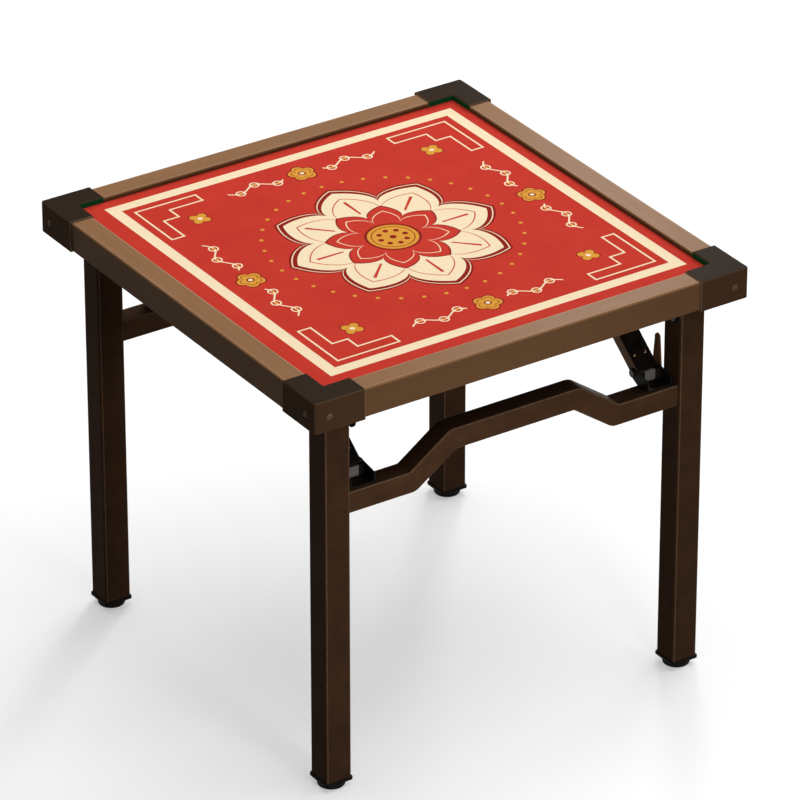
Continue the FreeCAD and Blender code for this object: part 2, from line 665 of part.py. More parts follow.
def make_brace(end, side):
    """Sheet channel: a web on top and two flanks, with holes for its pins and rivets."""
    middle = SIDE_SIGN[side] * BRACE_X[end]
    half = BRACE_WIDTH / 2
    flank_end = BRACE_LENGTH + BRACE_END - (BRACE_ABOVE_PIN + BRACE_BELOW_PIN) / 2
    flank = channel_flank(end, 0, flank_end, BRACE_ABOVE_PIN, BRACE_BELOW_PIN)
    brace = side_plate(flank, middle - half, middle + half)
    inner = middle - half + BRACE_SHEET, middle + half - BRACE_SHEET
    under_web = -BRACE_BELOW_PIN - CUT_PAST, BRACE_ABOVE_PIN - BRACE_SHEET
    past_end = BRACE_LENGTH + 2 * BRACE_END
    brace = brace.cut(brace_block(end, (-2 * BRACE_END, past_end), under_web, inner))
    tall = -BRACE_BELOW_PIN - CUT_PAST, BRACE_ABOVE_PIN + CUT_PAST
    brace = brace.cut(brace_block(end, (-2 * BRACE_END, BRACE_WEB_START), tall, inner))
    brace = brace.cut(brace_block(end, (BRACE_LENGTH + BRACE_END / 2, past_end), tall, inner))
    for along in (0, BRACE_LENGTH):
        place = brace_spot(end, along, 0, middle - half - CUT_PAST)
        bore = BRACE_PIN_DIAMETER + 2 * PIN_CLEARANCE
        brace = brace.cut(rod(place, Vector(1, 0, 0), bore, BRACE_WIDTH + 2 * CUT_PAST))
    into = web_normal(end)
    for place in rivet_places(end, middle):
        bore = BRACE_RIVET_SHANK + 2 * PIN_CLEARANCE
        brace = brace.cut(rod(place - into * CUT_PAST, into, bore, BRACE_SHEET + 2 * CUT_PAST))
    save(brace, "brace_%s_%s" % (end, side))
    save(make_liner(end, middle), "brace_liner_%s_%s" % (end, side))


def make_liner(end, middle):
    """Stiffening strip under a brace's web, held by the two rivets, which are solids of the same node."""
    half = BRACE_WIDTH / 2 - BRACE_SHEET - FIT_GAP
    high = BRACE_ABOVE_PIN - BRACE_SHEET
    strip = brace_block(end, (LINER_START, LINER_START + LINER_LENGTH), (high - LINER_SHEET, high),
                        (middle - half, middle + half))
    rivets = []
    into = web_normal(end)
    grip = BRACE_SHEET + LINER_SHEET
    for place in rivet_places(end, middle):
        strip = strip.cut(rod(place, into, BRACE_RIVET_SHANK + 2 * PIN_CLEARANCE, grip + CUT_PAST))
        rivets.append(rivet(place, into, BRACE_RIVET_SHANK, BRACE_RIVET_HEAD, BRACE_RIVET_HEAD_HEIGHT,
                            grip + BRACE_RIVET_TAIL))
    return Part.makeCompound([strip] + rivets)


def make_guide_pin(end, side):
    """Pin at a brace's upper end, through both flanks and the guide's slot, with a flat head at each end."""
    sign = SIDE_SIGN[side]
    inward, z = guide_pin_place(end, 0)
    outer = sign * (BRACE_X[end] + BRACE_WIDTH / 2 + FIT_GAP)
    inner = sign * (guide_plate_inner(end) - SIDE_GAP)
    pin = pin_between(end, inward, z, BRACE_PIN_DIAMETER, outer, inner)
    for start, way in ((outer, sign), (inner, -sign)):
        head = pin_between(end, inward, z, PIN_HEAD, start, start + way * PIN_HEAD_THICKNESS)
        pin = pin.fuse(head)
    save(pin.removeSplitter(), "guide_pin_%s_%s" % (end, side))


def make_lever(end, side):
    """Flat lever on the brace's foot pin, standing away from the brace and tapered to its tip."""
    tilt = math.radians(BRACE_ANGLE + LEVER_OPEN_ANGLE)
    c, s = math.cos(tilt), math.sin(tilt)

    def place(along, above):
        return spot(end, PIN_INWARD + along * c - above * s, PIN_Z + along * s + above * c)

    wide, tip = LEVER_HALF_WIDTH, LEVER_TIP_HALF_WIDTH
    shoulder = LEVER_LENGTH - tip
    outline = lines([place(0, -wide), place(shoulder, -tip)])
    outline.append(Part.Arc(place(shoulder, -tip), place(LEVER_LENGTH, 0), place(shoulder, tip)).toShape())
    outline += lines([place(shoulder, tip), place(0, wide)])
    outline.append(Part.Arc(place(0, wide), place(-wide, 0), place(0, -wide)).toShape())
    near, far = lever_faces(end, side)
    lever = side_plate(outline, near, far)
    bore = BRACE_PIN_DIAMETER + 2 * PIN_CLEARANCE
    hole = pin_between(end, PIN_INWARD, PIN_Z, bore, 2 * near - far, 2 * far - near)
    save(lever.cut(hole), "lock_lever_%s_%s" % (end, side))


# Under the board: hinge plates and guides


def guide_plate_inner(end):
    """Distance from the table's middle line to a guide plate's inner face."""
    return BRACE_X[end] - BRACE_WIDTH / 2 - GUIDE_PLATE_GAP - GUIDE_SHEET


def slot_outline(end):
    """Edges of a guide's slot along the upper pin's path, up to the end pocket."""
    wide = PIN_RADIUS + GUIDE_SLOT_CLEARANCE
    nudge = 0.001
    upper_points, lower_points, tips = [], [], []
    for step in range(SLOT_STEPS + 1):
        share = SLOT_POCKET_SHARE * step / SLOT_STEPS
        here = guide_pin_place(end, share)
        before = guide_pin_place(end, share - nudge)
        after = guide_pin_place(end, share + nudge)
        run, rise = after[0] - before[0], after[1] - before[1]
        scale = wide / math.hypot(run, rise)
        run, rise = run * scale, rise * scale
        upper_points.append(spot(end, here[0] - rise, here[1] + run))
        lower_points.append(spot(end, here[0] + rise, here[1] - run))
        way = -1 if step == 0 else 1
        tips.append(spot(end, here[0] + way * run, here[1] + way * rise))
    upper = Part.BSplineCurve()
    upper.interpolate(upper_points)
    lower = Part.BSplineCurve()
    lower.interpolate(lower_points)
    return [
        upper.toShape(),
        Part.Arc(upper_points[-1], tips[-1], lower_points[-1]).toShape(),
        lower.toShape(),
        Part.Arc(lower_points[0], tips[0], upper_points[0]).toShape(),
    ]


def slot_pocket(end):
    """Centre and diameter of the round pocket where the upper pin ends its travel and turns back a little."""
    rest = 1 - SLOT_POCKET_SHARE
    shares = [SLOT_POCKET_SHARE + rest * step / SLOT_STEPS for step in range(SLOT_STEPS + 1)]
    path = [guide_pin_place(end, share) for share in shares]
    inward = (min(p[0] for p in path) + max(p[0] for p in path)) / 2
    z = (min(p[1] for p in path) + max(p[1] for p in path)) / 2
    reach = max(math.hypot(p[0] - inward, p[1] - z) for p in path)
    return inward, z, 2 * (reach + PIN_RADIUS + GUIDE_SLOT_CLEARANCE)


def guide_span(end):
    """Inward distances where a guide plate starts and ends, and its lowest level."""
    path = [guide_pin_place(end, step / SLOT_STEPS) for step in range(SLOT_STEPS + 1)]
    reach = [inward for inward, z in path]
    low = min(z for inward, z in path)
    return min(reach) - GUIDE_MARGIN, max(reach) + GUIDE_MARGIN, low - GUIDE_MARGIN


def guide_screw_places(end, side):
    """Board places of a guide's three screws."""
    start, finish, low = guide_span(end)
    x = SIDE_SIGN[side] * (guide_plate_inner(end) - GUIDE_FLANGE / 2)
    rows = (start + GUIDE_MARGIN, (start + finish) / 2, finish - GUIDE_MARGIN)
    return [(x, spot(end, inward, 0).y) for inward in rows]


def screw_holes(places, sheet):
    """Holes for board screws through a flange."""
    low = BOARD_BOTTOM - sheet - CUT_PAST
    bore = SCREW_SHANK + 2 * SCREW_CLEARANCE
    depth = sheet + 2 * CUT_PAST
    return Part.makeCompound([rod(Vector(x, y, low), Vector(0, 0, 1), bore, depth) for x, y in places])


def board_screws(places, sheet):
    """Round-headed screws up into the board through a flange."""
    up = Vector(0, 0, 1)
    return [rivet(Vector(x, y, BOARD_BOTTOM - sheet), up, SCREW_SHANK, SCREW_HEAD, SCREW_HEAD_HEIGHT,
                  sheet + SCREW_DEPTH) for x, y in places]


def make_guide(end, side):
    """Angle plate under the board, with the curved slot that the brace's upper pin follows."""
    sign = SIDE_SIGN[side]
    inner = sign * guide_plate_inner(end)
    outer = inner + sign * GUIDE_SHEET
    start, finish, low = guide_span(end)
    plate = box(spot(end, start, low, inner), spot(end, finish, BOARD_BOTTOM, outer))
    corners = [e for e in edges_at_height(plate, low) if abs(e.Length - GUIDE_SHEET) < 1e-6]
    plate = plate.makeFillet(GUIDE_CORNER_RADIUS, corners)
    past = sign * CUT_PAST
    slot = side_plate(slot_outline(end), inner - past, outer + past)
    inward, z, diameter = slot_pocket(end)
    slot = slot.fuse(pin_between(end, inward, z, diameter, inner - past, outer + past))
    flange = box(spot(end, start, BOARD_BOTTOM - GUIDE_SHEET, inner),
                 spot(end, finish, BOARD_BOTTOM, inner - sign * GUIDE_FLANGE))
    guide = plate.cut(slot).fuse(flange).removeSplitter()
    guide = guide.cut(screw_holes(guide_screw_places(end, side), GUIDE_SHEET))
    save(guide, "brace_guide_%s_%s" % (end, side))


def hinge_plate_outer():
    """Distance from the table's middle line to a hinge plate's outer face."""
    return LEG_INNER_X - HINGE_WASHER_THICKNESS - FIT_GAP


def hinge_screw_places(end, side):
    """Board places of a hinge plate's two screws."""
    x = SIDE_SIGN[side] * (hinge_plate_outer() - HINGE_SHEET - HINGE_FLANGE + HINGE_SCREW_EDGE)
    rows = (HINGE_SCREW_EDGE - HINGE_TOP_OUT, HINGE_TOP_IN - HINGE_SCREW_EDGE)
    return [(x, spot(end, inward, 0).y) for inward in rows]


def make_hinge_plate(end, side):
    """Angle plate screwed under the board; its hanging leaf narrows to a round end about the hinge pin."""
    sign = SIDE_SIGN[side]
    outer = sign * hinge_plate_outer()
    inner = outer - sign * HINGE_SHEET
    pivot_z = PIVOT_Z[end]
    line = -HINGE_OUTWARD[end]
    tip_in = spot(end, line + HINGE_END_RADIUS, pivot_z)
    tip_out = spot(end, line - HINGE_END_RADIUS, pivot_z)
    tip_low = spot(end, line, pivot_z - HINGE_END_RADIUS)
    top_in = spot(end, HINGE_TOP_IN, BOARD_BOTTOM)
    top_out = spot(end, -HINGE_TOP_OUT, BOARD_BOTTOM)
    outline = lines([tip_in, top_in, top_out, tip_out])
    outline.append(Part.Arc(tip_out, tip_low, tip_in).toShape())
    plate = side_plate(outline, inner, outer)
    flange = box(spot(end, -HINGE_TOP_OUT, BOARD_BOTTOM - HINGE_SHEET, inner),
                 spot(end, HINGE_TOP_IN, BOARD_BOTTOM, inner - sign * HINGE_FLANGE))
    plate = plate.fuse(flange).removeSplitter()
    bore = HINGE_PIN_DIAMETER + 2 * PIN_CLEARANCE
    past = sign * CUT_PAST
    plate = plate.cut(hinge_pin_between(end, bore, inner - past, outer + past))
    plate = plate.cut(screw_holes(hinge_screw_places(end, side), HINGE_SHEET))
    save(plate, "hinge_plate_%s_%s" % (end, side))


def make_hinge_pin(end, side):
    """Headed pin that a leg turns on."""
    sign = SIDE_SIGN[side]
    head_face = sign * (hinge_plate_outer() - HINGE_SHEET - FIT_GAP)
    tip = sign * (LEG_INNER_X + HINGE_PIN_REACH)
    pin = hinge_pin_between(end, HINGE_PIN_DIAMETER, head_face, tip)
    head = hinge_pin_between(end, HINGE_PIN_HEAD, head_face, head_face - sign * HINGE_SHEET)
    return pin.fuse(head).removeSplitter()


def make_washer(end, side):
    """Spacer between a hinge plate and its leg."""
    sign = SIDE_SIGN[side]
    near = sign * hinge_plate_outer()
    far = near + sign * HINGE_WASHER_THICKNESS
    ring = hinge_pin_between(end, HINGE_WASHER, near, far)
    past = sign * CUT_PAST
    return ring.cut(hinge_pin_between(end, HINGE_PIN_DIAMETER + 2 * PIN_CLEARANCE, near - past, far + past))


def main():
    """Build every node."""
    os.makedirs("parts", exist_ok=True)
    hinge_places, guide_places, pins, washers = [], [], [], []
    make_top_frame()
    for end in END_SIGN:
        make_crossbar(end)
        save(Part.makeCompound([make_insert(end, side) for side in SIDE_SIGN]), "leg_inserts_%s" % end)
        save(Part.makeCompound([make_foot_pin(end, side) for side in SIDE_SIGN]), "brace_pins_%s" % end)
        for side in SIDE_SIGN:
            make_leg(end, side)
            make_foot(end, side)
            make_bracket(end, side)
            make_brace(end, side)
            make_guide_pin(end, side)
            make_lever(end, side)
            make_guide(end, side)
            make_hinge_plate(end, side)
            pins.append(make_hinge_pin(end, side))
            washers.append(make_washer(end, side))
            hinge_places += hinge_screw_places(end, side)
            guide_places += guide_screw_places(end, side)
    save(Part.makeCompound(pins), "hinge_pins")
    save(Part.makeCompound(washers), "hinge_washers")
    save(Part.makeCompound(board_screws(hinge_places, HINGE_SHEET)), "hinge_screws")
    save(Part.makeCompound(board_screws(guide_places, GUIDE_SHEET)), "guide_screws")
    make_board(hinge_places + guide_places)


main()
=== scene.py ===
"""Looks of a square folding game table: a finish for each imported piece, and the printed mat."""

import math

import bmesh
import bpy
import numpy as np
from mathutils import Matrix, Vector


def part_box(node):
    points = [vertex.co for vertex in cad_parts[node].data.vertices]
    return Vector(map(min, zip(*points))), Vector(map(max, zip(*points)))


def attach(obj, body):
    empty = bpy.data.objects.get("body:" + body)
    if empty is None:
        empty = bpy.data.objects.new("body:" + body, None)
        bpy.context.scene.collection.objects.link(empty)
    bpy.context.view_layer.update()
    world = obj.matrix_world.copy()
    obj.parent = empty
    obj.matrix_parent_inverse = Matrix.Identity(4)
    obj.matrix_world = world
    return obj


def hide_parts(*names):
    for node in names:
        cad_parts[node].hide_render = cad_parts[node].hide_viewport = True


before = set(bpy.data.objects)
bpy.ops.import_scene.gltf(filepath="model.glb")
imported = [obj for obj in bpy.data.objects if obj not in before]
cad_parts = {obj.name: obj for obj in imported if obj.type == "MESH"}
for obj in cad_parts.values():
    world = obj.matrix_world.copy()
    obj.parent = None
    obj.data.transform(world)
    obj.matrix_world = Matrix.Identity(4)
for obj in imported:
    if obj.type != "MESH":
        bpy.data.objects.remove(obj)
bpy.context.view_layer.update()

# Camera: the photograph's viewing angle, in metres and degrees
CAMERA_PLACE = Vector((-5.08625, -7.71155, 5.55116))
CAMERA_YAW = 33.5
CAMERA_PITCH = 28.86
CAMERA_FOCAL_PIXELS = 6178.0
CAMERA_REACH = 200.0
PICTURE_PIXELS = 800.0
SENSOR = 36.0

# Where the edges and walls that a finish follows lie, in metres
LEG_CENTRE = 0.355
LEG_CORNER = 0.0210
LEG_LINE_SHIFT = 0.0024
LEG_LINE_HALF = 0.0012
CROSSBAR_EDGE = (0.0184, 0.0197)
CAP_EDGE = (0.7780, 0.7797)
CAP_TOP = 0.7790
CAP_CORNER = 0.4279
CAP_END = 0.3344
CAP_INNER_WALL = 0.3837
CAP_LINING_TOP = 0.7785
RAIL_GROOVE_TOP = 0.7715
RAIL_GROOVE_INNER = 0.3845
RAIL_CREASE = (0.4212, 0.4232)
RAIL_LIP = (0.3864, 0.3884)
RAIL_FLAT = 0.7756
RAIL_FLAT_SOFT = 0.0026
BRACE_CENTRE = {"front": 0.298, "back": 0.242}
BRACE_FLANK = 0.0206
BRACKET_WALL = (0.3350, 0.3395)
BRACKET_PLATE_HALF = 0.0105
FOOT_SCUFF_TOP = 0.012
FOOT_SCUFF_SOFT = 0.012

# How wide the soft edge of a mask is, in metres
HAIR_SOFT = 0.0002
SHARP_SOFT = 0.0004
PLAIN_SOFT = 0.0006
LINE_SOFT = 0.0008
BROAD_SOFT = 0.0012

# Colours as they read on screen, 0 to 255
RAIL_BROWN = (103, 75, 51)
RAIL_BROWN_DEEP = (96, 69, 46)
# Rail top colours: a paler copy of the side colour, a painted sheen
RAIL_TOP_PAINTED_SHEEN = (143, 105, 73)
RAIL_TOP_PAINTED_SHEEN_DEEP = (135, 98, 67)
# Pale colour of the painted highlights on the rail's creases
RAIL_HIGHLIGHT = (196, 164, 132)
# Painted shade in the groove beside the mat
RAIL_GROOVE_SHADE = (86, 74, 46)
RAIL_SHEEN = (255, 232, 206)
# Cap colours: a charcoal shaded copy for the top and a brown lit copy for the walls, painted light and shade
CAP_TOP_SHADED = (41, 31, 23)
CAP_TOP_SHADED_PALE = (51, 40, 30)
CAP_WALL_LIT = (67, 47, 32)
CAP_WALL_LIT_PALE = (75, 54, 38)
CAP_LINING_GREEN = (22, 94, 52)
TUBE_BROWN = (68, 47, 32)
TUBE_BROWN_DEEP = (59, 40, 27)
# Crossbar paint: a lighter, lit copy of the leg paint, painted light
CROSSBAR_LIT_BROWN = (77, 54, 37)
CROSSBAR_LIT_BROWN_DEEP = (67, 46, 31)
# Pale colour of the painted highlights along the edges of caps, legs and crossbars
EDGE_HIGHLIGHT = (118, 96, 76)
# Brace colours: a black web standing for painted shade, and flanks painted a lighter brown to make up for
# shade
BRACE_SHADED_WEB = (17, 14, 12)
BRACE_SHADED_WEB_PALE = (28, 23, 19)
BRACE_LIT_FLANK = (112, 81, 56)
SHEET_BLACK = (20, 17, 15)
SHEET_BLACK_PALE = (32, 28, 25)
# Grey of the bracket wall: a painted reflection
BRACKET_WALL_REFLECTION = (104, 98, 92)
# Lever colour painted lighter to make up for the shade it lies in
LEVER_LIT_BROWN = (108, 78, 54)
LEVER_LIT_BROWN_DEEP = (96, 68, 46)
FOOT_BLACK = (16, 14, 13)
FOOT_BLACK_PALE = (40, 36, 33)
NYLON_BLACK = (30, 30, 31)
BOARD_TAN = (150, 118, 86)
BOARD_TAN_DEEP = (120, 90, 62)
STEEL_GREY = (150, 147, 142)
STEEL_GREY_DEEP = (112, 108, 103)
RIVET_BROWN = (112, 90, 70)
RIVET_BROWN_DEEP = (84, 66, 50)
DARK_STEEL = (58, 50, 43)
DARK_STEEL_DEEP = (40, 34, 29)
BRASS = (146, 112, 82)
BRASS_DEEP = (96, 70, 50)
PRINT_RED = (204, 56, 45)
PRINT_RED_DEEP = (197, 50, 41)
PRINT_MAROON = (140, 24, 24)
PRINT_CREAM = (255, 236, 198)
PRINT_GOLD = (226, 162, 60)
PRINT_SHADE = (150, 70, 40)
WHITE = (255, 255, 255)

# Specular level of each finish
RAIL_GLOSS = 0.015
CAP_GLOSS = 0.004
PAINT_GLOSS = 0.005
BLACK_GLOSS = 0.03
FOOT_GLOSS = 0.04
BOARD_GLOSS = 0.05
NYLON_GLOSS = 0.1
STEEL_GLOSS = 0.5
RIVET_GLOSS = 0.05
MAT_GLOSS = 0.02

# Roughness of each finish, from its least to its most
RAIL_DULL = (0.28, 0.38)
CAP_DULL = (0.30, 0.38)
PAINT_DULL = (0.30, 0.39)
BRACE_DULL = (0.28, 0.40)
BRACKET_DULL = (0.32, 0.44)
FOOT_DULL = (0.40, 0.60)
BOARD_DULL = (0.70, 0.85)
NYLON_DULL = (0.50, 0.65)
STEEL_DULL = (0.28, 0.42)
DARK_STEEL_DULL = (0.36, 0.50)
RIVET_DULL = (0.44, 0.58)
MAT_DULL = (0.70, 0.84)

# How metallic the plated, the blackened and the browned steel are
BRIGHT_METAL = 1.0
DARK_METAL = 0.7
BROWNED_METAL = 0.0

# Depth of each finish's relief, in metres
RAIL_RELIEF = 0.00003
CAP_RELIEF = 0.00008
PEEL_RELIEF = 0.00005
FOOT_RELIEF = 0.0001
BOARD_RELIEF = 0.0001
WEAVE_RELIEF = 0.00015

# Painted highlights along edges and creases: how much of the pale colour shows, as a share or from its least
# to its most
RAIL_HIGHLIGHT_SPREAD = (0.15, 0.45)
RAIL_CREASE_HIGHLIGHT = 0.7
CAP_EDGE_HIGHLIGHT = 0.26
CAP_END_HIGHLIGHT = 0.85
PAINT_HIGHLIGHT_SPREAD = (0.35, 0.8)

# Streaks and fibres: how many a metre along x, y and z
RAIL_STREAKS_ALONG_X = (3.0, 260.0, 260.0)
RAIL_STREAKS_ALONG_Y = (260.0, 3.0, 260.0)
RAIL_STREAK_SHARE = 0.75
BOARD_FIBRES = (70.0, 420.0, 200.0)
STEEL_SCRATCHES = (900.0, 900.0, 90.0)
MAT_SLUBS = (60.0, 700.0, 60.0)

# Where noise mostly lies, out of 0 to 1
NOISE_RANGE = (0.3, 0.7)


def tone(rgb):
    """Screen colour to the linear one that a shader takes: the usual sRGB curve on each channel."""
    share = np.asarray(rgb, float) / 255.0
    low = share / 12.92
    high = ((share + 0.055) / 1.055) ** 2.4
    return (*np.where(share <= 0.04045, low, high), 1.0)


class Amount:
    """A number that varies over a surface, held as a node's output, so that a pattern reads as a formula."""

    def __init__(self, finish, socket):
        self.finish = finish
        self.socket = socket

    def do(self, operation, *others):
        """One math node on this amount and others."""
        node = self.finish.add("ShaderNodeMath", operation=operation)
        for socket, value in zip(node.inputs, (self, *others)):
            self.finish.feed(socket, value)
        return Amount(self.finish, node.outputs[0])

    def __add__(self, other):
        return self.do("ADD", other)

    def __sub__(self, other):
        return self.do("SUBTRACT", other)

    def __mul__(self, other):
        return self.do("MULTIPLY", other)

    def __truediv__(self, other):
        return self.do("DIVIDE", other)

    def __abs__(self):
        return self.do("ABSOLUTE")

    def power(self, exponent):
        """This amount raised to an exponent."""
        return self.do("POWER", exponent)

    def least(self, other):
        """The smaller of two amounts."""
        return self.do("MINIMUM", other)

    def most(self, other):
        """The larger of two amounts."""
        return self.do("MAXIMUM", other)

    def wave(self):
        """Sine, in radians."""
        return self.do("SINE")

    def mapped(self, start, end, low=0.0, high=1.0):
        """The range from start to end stretched to low to high, and held there outside it."""
        node = self.finish.add("ShaderNodeMapRange", clamp=True)
        self.finish.feed(node.inputs["Value"], self)
        node.inputs["From Min"].default_value = start
        node.inputs["From Max"].default_value = end
        node.inputs["To Min"].default_value = low
        node.inputs["To Max"].default_value = high
        return Amount(self.finish, node.outputs["Result"])

    def spread(self, low=0.0, high=1.0):
        """Noise stretched over low to high."""
        return self.mapped(*NOISE_RANGE, low, high)

    def under(self, limit, soft):
        """1 where the amount is below a limit and 0 above it, with an edge that is soft wide."""
        return self.mapped(limit + soft / 2.0, limit - soft / 2.0)

    def over(self, limit, soft):
        """1 where the amount is above a limit and 0 below it, with an edge that is soft wide."""
        return self.mapped(limit - soft / 2.0, limit + soft / 2.0)

    def inside(self, low, high, soft):
        """1 between two values and 0 outside them, with edges that are soft wide."""
        return abs(self - (low + high) / 2.0).under((high - low) / 2.0, soft)


class Finish:
    """One procedural material on a Principled shader, built from Object coordinates in metres."""

    def __init__(self, name, **sockets):
        self.material = bpy.data.materials.new(name)
        self.material.use_nodes = True
        self.tree = self.material.node_tree
        self.shader = self.tree.nodes["Principled BSDF"]
        self.place = self.add("ShaderNodeTexCoord").outputs["Object"]
        for socket, value in sockets.items():
            self.shader.inputs[socket.replace("_", " ")].default_value = value

    def add(self, kind, **settings):
        """New node with its settings."""
        node = self.tree.nodes.new(kind)
        for setting, value in settings.items():
            setattr(node, setting, value)
        return node

    def feed(self, socket, value):
        """Link an amount or a socket, or write a plain value."""
        if isinstance(value, Amount):
            value = value.socket
        if isinstance(value, bpy.types.NodeSocket):
            self.tree.links.new(value, socket)
        else:
            socket.default_value = value

    def along(self):
        """Amounts x, y and z of the surface point, in metres."""
        node = self.add("ShaderNodeSeparateXYZ")
        self.feed(node.inputs[0], self.place)
        return [Amount(self, out) for out in node.outputs]

    def noise(self, blobs=1.0, detail=3.0, stretch=(1.0, 1.0, 1.0)):
        """Cloudy noise from 0 to 1, with so many blobs a metre, and a stretch of that for each axis."""
        mapping = self.add("ShaderNodeMapping")
        self.feed(mapping.inputs["Vector"], self.place)
        mapping.inputs["Scale"].default_value = stretch
        node = self.add("ShaderNodeTexNoise")
        self.feed(node.inputs["Vector"], mapping.outputs[0])
        node.inputs["Scale"].default_value = blobs
        node.inputs["Detail"].default_value = detail
        return Amount(self, node.outputs[0])

    def crossed(self, detail, stretch):
        """Mean of two streaky noises, one along x and one along y."""
        x, y, z = stretch
        first = self.noise(detail=detail, stretch=stretch)
        second = self.noise(detail=detail, stretch=(y, x, z))
        return first * 0.5 + second * 0.5

    def mix(self, share, first, second):
        """Colour that goes from first to second as share goes from 0 to 1."""
        node = self.add("ShaderNodeMix", data_type="RGBA")
        colours = [s for s in node.inputs if s.type == "RGBA"]
        self.feed(node.inputs["Factor"], share)
        for socket, colour in zip(colours, (first, second)):
            self.feed(socket, tone(colour) if isinstance(colour, tuple) else colour)
        return next(s for s in node.outputs if s.type == "RGBA")

    def colour(self, socket):
        """Set the base colour."""
        self.feed(self.shader.inputs["Base Color"], socket)

    def roughness(self, amount):
        """Set how dull the surface is."""
        self.feed(self.shader.inputs["Roughness"], amount)

    def relief(self, height, depth):
        """Fine relief: height is an amount from 0 to 1, depth its size in metres."""
        node = self.add("ShaderNodeBump")
        self.feed(node.inputs["Height"], height)
        node.inputs["Distance"].default_value = depth
        self.feed(self.shader.inputs["Normal"], node.outputs[0])

    def orange_peel(self):
        """Relief of baked paint."""
        self.relief(self.noise(blobs=420.0, detail=1.0), PEEL_RELIEF)


# Finishes


def rail_finish(name, streaks_along):
    """Satin brown extrusion: faint lengthwise streaks, a top painted paler than the sides as a painted sheen,
    pale painted highlights along its creases, and painted shade in the groove beside the mat.
    """
    finish = Finish(name, Specular_IOR_Level=RAIL_GLOSS, Specular_Tint=tone(RAIL_SHEEN))
    x, y, z = finish.along()
    out = abs(x).most(abs(y))
    streaks = finish.noise(detail=4.0, stretch=streaks_along)
    cloud = finish.noise(blobs=9.0, detail=2.0)
    streaky = (streaks * RAIL_STREAK_SHARE + cloud * (1.0 - RAIL_STREAK_SHARE)).spread()
    sides = finish.mix(streaky, RAIL_BROWN_DEEP, RAIL_BROWN)
    # Painted sheen: the flat top gets a paler copy of the side colour
    top = finish.mix(streaky, RAIL_TOP_PAINTED_SHEEN_DEEP, RAIL_TOP_PAINTED_SHEEN)
    flat = z.over(RAIL_FLAT, RAIL_FLAT_SOFT)
    rail_with_painted_sheen = finish.mix(flat, sides, top)
    # Painted highlights along the outer crease and the inner lip of the top
    crease_highlight = out.inside(*RAIL_CREASE, BROAD_SOFT) * RAIL_CREASE_HIGHLIGHT + out.inside(*RAIL_LIP, BROAD_SOFT)
    rail_with_highlights = finish.mix(crease_highlight * flat * cloud.spread(*RAIL_HIGHLIGHT_SPREAD), rail_with_painted_sheen, RAIL_HIGHLIGHT)
    # Painted shade: the groove's inner wall beside the mat is darkened
    groove_shade = out.under(RAIL_GROOVE_INNER, SHARP_SOFT) * z.under(RAIL_GROOVE_TOP, BROAD_SOFT)
    finish.colour(finish.mix(groove_shade, rail_with_highlights, RAIL_GROOVE_SHADE))
    finish.roughness(streaks.spread(*RAIL_DULL))
    finish.relief(streaks, RAIL_RELIEF)
    return finish.material


def cap_finish():
    """Finely grained moulding: brown walls painted as a lit copy and a charcoal top painted as a shaded copy
    of one plastic, pale painted highlights on the edges, and inner walls lined in green.
    """
    finish = Finish("grained_moulding", Specular_IOR_Level=CAP_GLOSS)
    x, y, z = finish.along()
    far = abs(x).most(abs(y))
    near = abs(x).least(abs(y))
    grain = finish.noise(blobs=620.0, detail=2.0).spread()
    # Painted light and shade: the top is a darker copy and the walls a browner, lighter copy of one plastic
    top = finish.mix(grain, CAP_TOP_SHADED, CAP_TOP_SHADED_PALE)
    walls = finish.mix(grain, CAP_WALL_LIT, CAP_WALL_LIT_PALE)
    cap_lit_and_shaded = finish.mix(z.under(CAP_TOP, BROAD_SOFT), top, walls)
    # Painted highlights on the top edges, the vertical corners and the ends
    corner = near.over(CAP_CORNER, SHARP_SOFT)
    edge_highlights = z.inside(*CAP_EDGE, SHARP_SOFT).most(corner) * CAP_EDGE_HIGHLIGHT
    ends = near.under(CAP_END, PLAIN_SOFT) * CAP_END_HIGHLIGHT
    highlighted = finish.mix(edge_highlights.most(ends), cap_lit_and_shaded, EDGE_HIGHLIGHT)
    lining = far.under(CAP_INNER_WALL, HAIR_SOFT) * z.under(CAP_LINING_TOP, PLAIN_SOFT)
    finish.colour(finish.mix(lining, highlighted, CAP_LINING_GREEN))
    finish.roughness(grain.spread(*CAP_DULL))
    finish.relief(grain, CAP_RELIEF)
    return finish.material


def paint_finish(name, colour, deep, edge=None):
    """Baked paint with a slight orange peel and faint clouds; edge(x, y) marks where a pale painted highlight
    runs along the edges.
    """
    finish = Finish(name, Specular_IOR_Level=PAINT_GLOSS)
    paint = finish.mix(finish.noise(blobs=24.0).spread(), deep, colour)
    if edge:
        x, y, _ = finish.along()
        # Painted highlight along the edges, varied by noise
        highlight = edge(x, y) * finish.noise(blobs=150.0).spread(*PAINT_HIGHLIGHT_SPREAD)
        paint = finish.mix(highlight, paint, EDGE_HIGHLIGHT)
    finish.colour(paint)
    finish.roughness(finish.noise(blobs=60.0, detail=2.0).spread(*PAINT_DULL))
    finish.orange_peel()
    return finish.material


def leg_highlight_line(x, y):
    """Mask of the painted highlight on the four long corners of a leg: a line on the rounding, nearer to the
    front and back faces.
    """
    across = abs(abs(x) - LEG_CENTRE)
    along = abs(abs(y) - LEG_CENTRE)
    corner = across.least(along).over(LEG_CORNER, PLAIN_SOFT)
    return abs(across - along + LEG_LINE_SHIFT).under(LEG_LINE_HALF, LINE_SOFT) * corner


def crossbar_highlight_line(_, y):
    """Mask of the painted highlight along the rounded long edges of a crossbar."""
    return abs(abs(y) - LEG_CENTRE).inside(*CROSSBAR_EDGE, SHARP_SOFT)


